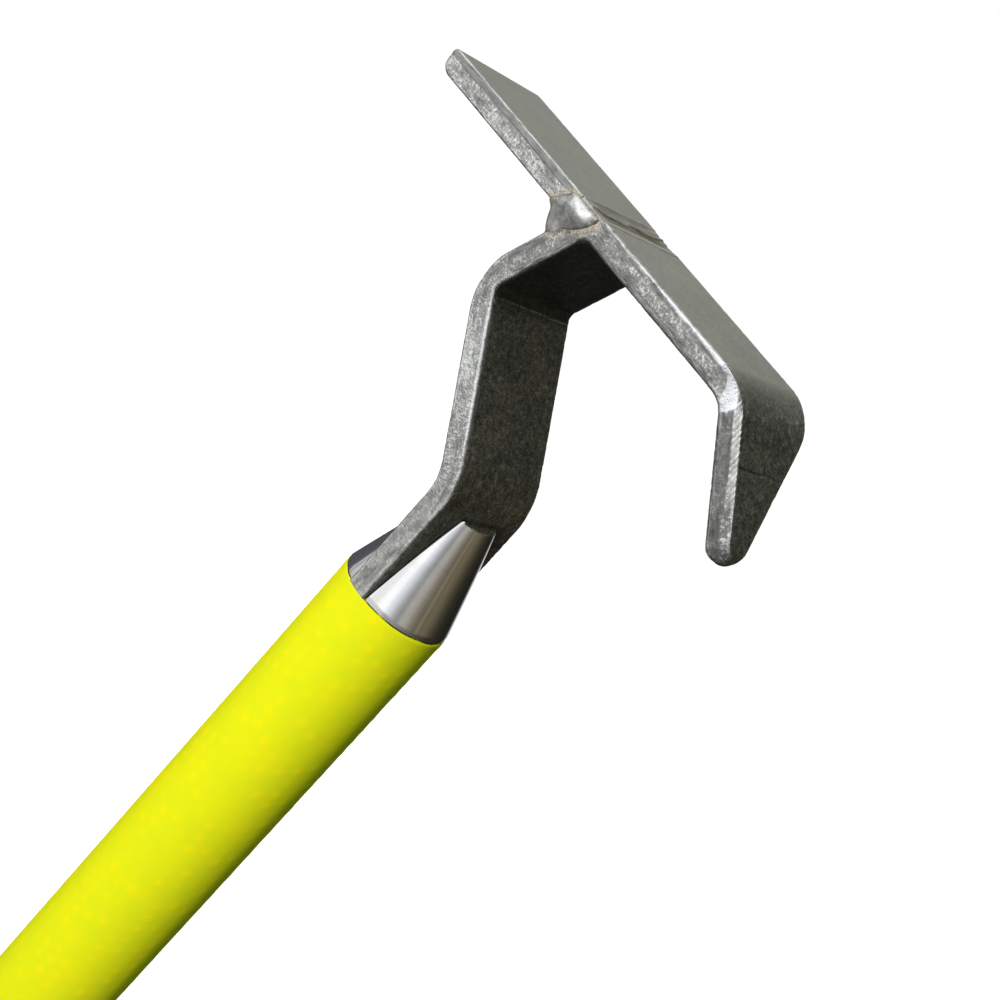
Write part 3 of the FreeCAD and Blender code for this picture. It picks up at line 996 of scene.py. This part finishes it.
def lathe(profile, segments, wobble=None):
    """Rings round the pole's axis for a profile of (radius, height).
    wobble gives a change of radius for an angle and a height."""
    rings = []
    for radius, height in profile:
        ring = []
        for segment in range(segments):
            angle = 2 * pi * segment / segments
            reach = radius + (wobble(angle, height) if wobble else 0)
            ring.append(Vector((reach * cos(angle), reach * sin(angle), height)))
        rings.append(ring)
    return rings


def half_ring(radius, side, corner):
    """One half of the cone at one height, on the +X or the -X side, with rounded slot edges."""
    middle = sqrt((radius - corner) ** 2 - slot_half ** 2)
    turn = atan2(middle, slot_half)
    arc_steps, corner_steps, chord_steps = 64, 8, 6
    rounded_edge = []
    for step in range(1, corner_steps + 1):
        angle = turn + (pi / 2 - turn) * step / corner_steps
        rounded_edge.append((side * (slot_half + corner * cos(angle)), middle + corner * sin(angle)))
    outline = [(x, -y) for x, y in reversed(rounded_edge)]
    for step in range(arc_steps + 1):
        angle = turn * (2 * step / arc_steps - 1)
        outline.append((side * radius * cos(angle), radius * sin(angle)))
    outline += rounded_edge
    across = outline[-1][1]
    for step in range(1, chord_steps):
        outline.append((side * slot_half, across * (1 - 2 * step / chord_steps)))
    return outline


def cone_halves():
    """The slotted cone with its arrises broken, standing on its spigot."""
    height = cone_top - cone_base
    land, top_break = 0.4, 0.35
    foot = cone_base - 0.55 * (cone_base - pole_top)
    levels = [(foot, cone_radius - 0.25), (foot + 0.25, cone_radius), (cone_base + land, cone_radius)]
    cone_steps = 24
    for step in range(1, cone_steps + 1):
        share = step / cone_steps
        levels.append((cone_base + land + (height - land - top_break) * share,
                       cone_radius + (cone_small_radius - cone_radius) * share))
    levels.append((cone_top, cone_small_radius - top_break))
    halves = []
    for side in (1, -1):
        rings = []
        for level, radius in levels:
            rise = max(level - cone_base, 0) / height
            corner = top_break + slot_edge_round * rise
            spread = 1 + (cone_spread - 1) * rise
            rings.append([Vector((x, y * spread, level)) for x, y in half_ring(radius, side, corner)])
        halves.append(skin(rings))
    stem = [(spigot_radius - 1, spigot_low), (spigot_radius, spigot_low + 1),
            (spigot_radius, cone_base + 0.02)]
    shape = joined(halves + [skin(lathe(stem, 96))])
    make_piece("cone_halves", shape, polished_steel(), ["cone_ferrule"], sharp=25)


def black_ring_bead():
    """A black bead round the joint between the cone and the pole, thicker in places."""
    middle = pole_top + 0.25 * (cone_base - pole_top)
    bead = 0.2
    profile = [(seal_radius - bead, pole_top - 0.1)]
    for step in range(9):
        angle = pi * (step / 8 - 0.5)
        profile.append((seal_radius + 0.12 + bead * cos(angle), middle + bead * sin(angle)))
    profile.append((seal_radius - bead, cone_base + 0.1))

    def bead_wobble(angle, height):
        return 0.40 * grain(cos(angle) * 5.0, sin(angle) * 5.0, height) - 0.12

    sealant = speckled("sealant", grey(0.012), grey(0.03), 800.0, 0.03, Roughness=0.5)
    make_piece("black_ring_bead", skin(lathe(profile, 160, bead_wobble), "joined"), sealant,
               ["seal_ring"])


def sleeve_skin():
    """The yellow sleeve, with staggered rows of soft raised spots."""
    segments = spot_columns * 5
    edge = 0.7
    pitch = 1.02
    rows = int((pole_top - cap_top - 2 * edge) / pitch)
    profile = [(tube_radius, cap_top), (pole_radius - 0.3, cap_top),
               (pole_radius - 0.1, cap_top + edge * 0.4)]
    for row in range(rows + 1):
        profile.append((pole_radius, cap_top + edge + (pole_top - cap_top - 2 * edge) * row / rows))
    profile += [(pole_radius - 0.12, pole_top - edge * 0.35), (pole_radius - 0.45, pole_top),
                (tube_radius, pole_top)]
    marks = []

    def spots(angle, height):
        column = angle / (2 * pi) * spot_columns
        nearest = floor(column + 0.5)
        line = height / spot_pitch + 0.5 * (nearest % 2)
        spot = floor(line + 0.5)
        size = 0.35 + 0.65 * noise.cell(Vector((nearest % spot_columns + 0.5, spot + 0.5, 0.5)))
        gap = hypot((column - nearest) * 0.95, line - spot)
        lift = size * bell(gap, 0, 0.24)
        marks.append({"raised": lift})
        return spot_height * (lift - 0.5) if cap_top + edge < height < pole_top - edge else 0.0

    shape = skin(lathe(profile, segments, spots), "joined")
    make_piece("sleeve_skin", shape, hi_vis_sleeve(), ["pole_sleeve"], marks)


def butt_boot():
    """The rubber wear cap, with two grooves and a dished foot."""
    groove = 0.5
    profile = [(0.2, 1.0), (cap_radius - 6, 1.0), (cap_radius - 5, 0.0), (cap_radius - 2, 0.0)]
    for step in range(1, 7):
        angle = pi / 2 * step / 6
        profile.append((cap_radius - 2 + 2 * sin(angle), 2 - 2 * cos(angle)))
    for low in (3.2, 5.2):
        profile += [(cap_radius, low), (cap_radius - groove, low + 0.3), (cap_radius - groove, low + 0.8),
                    (cap_radius, low + 1.1)]
    profile += [(cap_radius, cap_top - 0.6), (cap_radius - 0.6, cap_top), (0.2, cap_top)]
    rubber = speckled("cap_rubber", grey(0.018), grey(0.035), 700.0, 0.04, Roughness=0.7)
    make_piece("butt_boot", skin(lathe(profile, 96)), rubber, ["butt_cap"], sharp=30)


def inner_finishes():
    """Materials for the CAD pieces that stay, all of them inside the pole."""
    adhesive = (0.50, 0.44, 0.30, 1), (0.60, 0.54, 0.40, 1)
    foam = (0.74, 0.68, 0.48, 1), (0.85, 0.79, 0.60, 1)
    nylon = (0.70, 0.69, 0.64, 1), (0.78, 0.77, 0.73, 1)
    pin_steel = speckled("pin_steel", grey(0.40), grey(0.52), 900.0, 0.01, Metallic=1.0, Roughness=0.3)
    finishes = {
        "spigot_bond": speckled("adhesive", *adhesive, 500.0, 0.02, Roughness=0.5),
        "head_pins": pin_steel,
        "pole_tube": pultruded(),
        "pole_core": speckled("foam", *foam, 1500.0, 0.3, Roughness=0.9),
        "butt_plug": speckled("nylon", *nylon, 400.0, 0.02, Roughness=0.45),
        "butt_pin": pin_steel,
    }
    for node, finish in finishes.items():
        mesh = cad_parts[node].data
        mesh.materials.clear()
        mesh.materials.append(finish)


# ---- studio

def studio_world():
    """A soft studio: bright to the front left and overhead, grey behind, dark to the right and below."""
    world = bpy.data.worlds.new("studio")
    world.use_nodes = True
    bpy.context.scene.world = world
    g = Graph(world.node_tree)
    toward = g.node("ShaderNodeTexCoord").outputs["Generated"]
    parts = g.node("ShaderNodeSeparateXYZ", {0: toward}).outputs
    turn = g.add(g.times(g.math("ARCTAN2", parts[1], parts[0]), 1 / (2 * pi)), 0.5)
    height = g.times(g.math("ARCSINE", parts[2]), 180 / pi)

    def ring(*stops):
        """Light round the horizon. stops are (heading, brightness) or (heading, brightness, warmth)."""
        return g.ramp(turn, [((degrees + 180) / 360, grey(*shade)) for degrees, *shade in stops])

    band = ring((-180, 0.45, -0.1), (-165, 0.75, -0.05), (-148, 1.7), (-106, 1.7), (-90, 0.9), (-79, 0.9),
                (-72, 1.1), (-62, 1.1), (-55, 0.86, -0.08), (-47, 0.64, -0.05), (-40, 0.41, -0.02),
                (-32, 0.28), (-24, 0.40, 0.08), (-15, 0.36, 0.12), (-7, 0.23, 0.18), (2, 0.14, 0.27),
                (7, 0.13, 0.3), (11, 0.19, 0.33), (16, 0.12, 0.36), (24, 0.13, 0.36), (43, 0.06, 0.36),
                (58, 0.028, 0.3), (92, 0.03, 0.1), (108, 0.28, 0.05), (126, 0.75, 0.05), (145, 0.50, 0.03),
                (166, 0.38, -0.1), (180, 0.45, -0.1))
    low = ring((-180, 0.09, -0.1), (-173, 0.14, -0.1), (-169, 0.60), (-165, 0.30), (-160, 0.60),
               (-150, 0.50), (-125, 0.80), (-98, 0.70), (-64, 0.62), (-52, 0.36, -0.05), (-32, 0.28, 0.06),
               (-8, 0.14, 0.2), (14, 0.07, 0.3), (38, 0.03, 0.3), (75, 0.015, 0.2), (92, 0.02), (101, 0.5),
               (122, 0.9), (130, 0.10, -0.1), (150, 0.08, -0.1), (180, 0.09, -0.1))
    above = ring((-180, 0.75), (-130, 1.6), (-60, 1.2), (-10, 0.22), (40, 0.05, 0.1), (90, 0.12, 0.1),
                 (130, 0.60, 0.05), (180, 0.75))
    below = ring((-180, 0.06), (-125, 0.35), (-70, 0.22), (0, 0.05), (82, 0.008), (150, 0.02), (180, 0.06))
    rays = g.node("ShaderNodeLightPath").outputs
    # Matt surfaces get a dim, even light from it, and the camera sees it white
    light = g.layers(band, (g.step(height, 20, 40), above), (g.step(height, 2, -8), low),
                     (g.step(height, -26, -46), below),
                     (rays["Is Diffuse Ray"], (0.045, 0.085, 0.09, 1)), (rays["Is Camera Ray"], grey(1.0)))
    g.node("ShaderNodeOutputWorld", {0: g.node("ShaderNodeBackground", {0: light, 1: 1.0}).outputs[0]})


def studio_floor():
    """A wide pale floor under the butt. It gives some light of its own, so that it stays pale."""
    size = 60000
    mesh = bpy.data.meshes.new("floor")
    corners = [Vector((x * size, y * size, 0)) * MM for x, y in ((-1, -1), (1, -1), (1, 1), (-1, 1))]
    mesh.from_pydata(corners, [], [(0, 1, 2, 3)])
    pale = new_material("floor", Base_Color=grey(0.35), Roughness=0.9, Specular_IOR_Level=0.0,
                        Emission_Color=grey(1.0), Emission_Strength=1.0)[0]
    mesh.materials.append(pale)
    ground = add_object("floor", mesh)
    ground.visible_glossy = False
    ground.visible_diffuse = False


def soft_lamp(name, degrees, height, size, power):
    """A square lamp at a heading and a height round the head. It lights paint but isn't mirrored in metal."""
    distance, below_seal = 2.0, 60
    turn, rise = radians(degrees), radians(height)
    aim = Vector((0, 0, (cone_base + pole_top) / 2 - below_seal)) * MM
    away = Vector((cos(turn) * cos(rise), sin(turn) * cos(rise), sin(rise)))
    data = bpy.data.lights.new(name, "AREA")
    data.size = size
    data.energy = power
    lamp = add_object(name, data)
    lamp.location = aim + away * distance
    lamp.rotation_euler = away.to_track_quat("Z", "Y").to_euler()
    lamp.visible_glossy = False


def add_camera():
    """Above and to the right of the head, rolled so that the pole runs from the lower left."""
    azimuth, elevation, roll = (radians(angle) for angle in (32.99, 19.31, 41.95))
    distance, below_crest, beside_pole = 594.0, 81.93, 4.2
    forward = Vector((-sin(azimuth) * cos(elevation), cos(azimuth) * cos(elevation),
                      -sin(elevation)))
    right = Vector((cos(azimuth), sin(azimuth), 0))
    up = right.cross(forward)
    side = right * cos(roll) + up * sin(roll)
    top = up * cos(roll) - right * sin(roll)
    data = bpy.data.cameras.new("camera")
    data.lens = 73.98
    data.sensor_width = 36
    data.clip_start = 0.01
    data.clip_end = 200
    camera = add_object("camera", data)
    target = Vector((beside_pole, middle_y, crest - below_crest))
    turned = Matrix((side, top, -forward)).transposed().to_4x4()
    camera.matrix_world = Matrix.Translation((target - forward * distance) * MM) @ turned
    bpy.context.scene.camera = camera


bpy.context.scene.view_settings.view_transform = "Standard"
add_camera()
studio_world()
studio_floor()
soft_lamp("key", -76, 20, 0.4, 43)
soft_lamp("fill", -165, 15, 1.2, 12)
soft_lamp("back", 108, 15, 1.2, 40)

weld_finish = weld_metal()
hook_bar()
blade_plate()
fillet_weld()
crest_weld()
weld_pads()
cone_halves()
black_ring_bead()
sleeve_skin()
butt_boot()
inner_finishes()
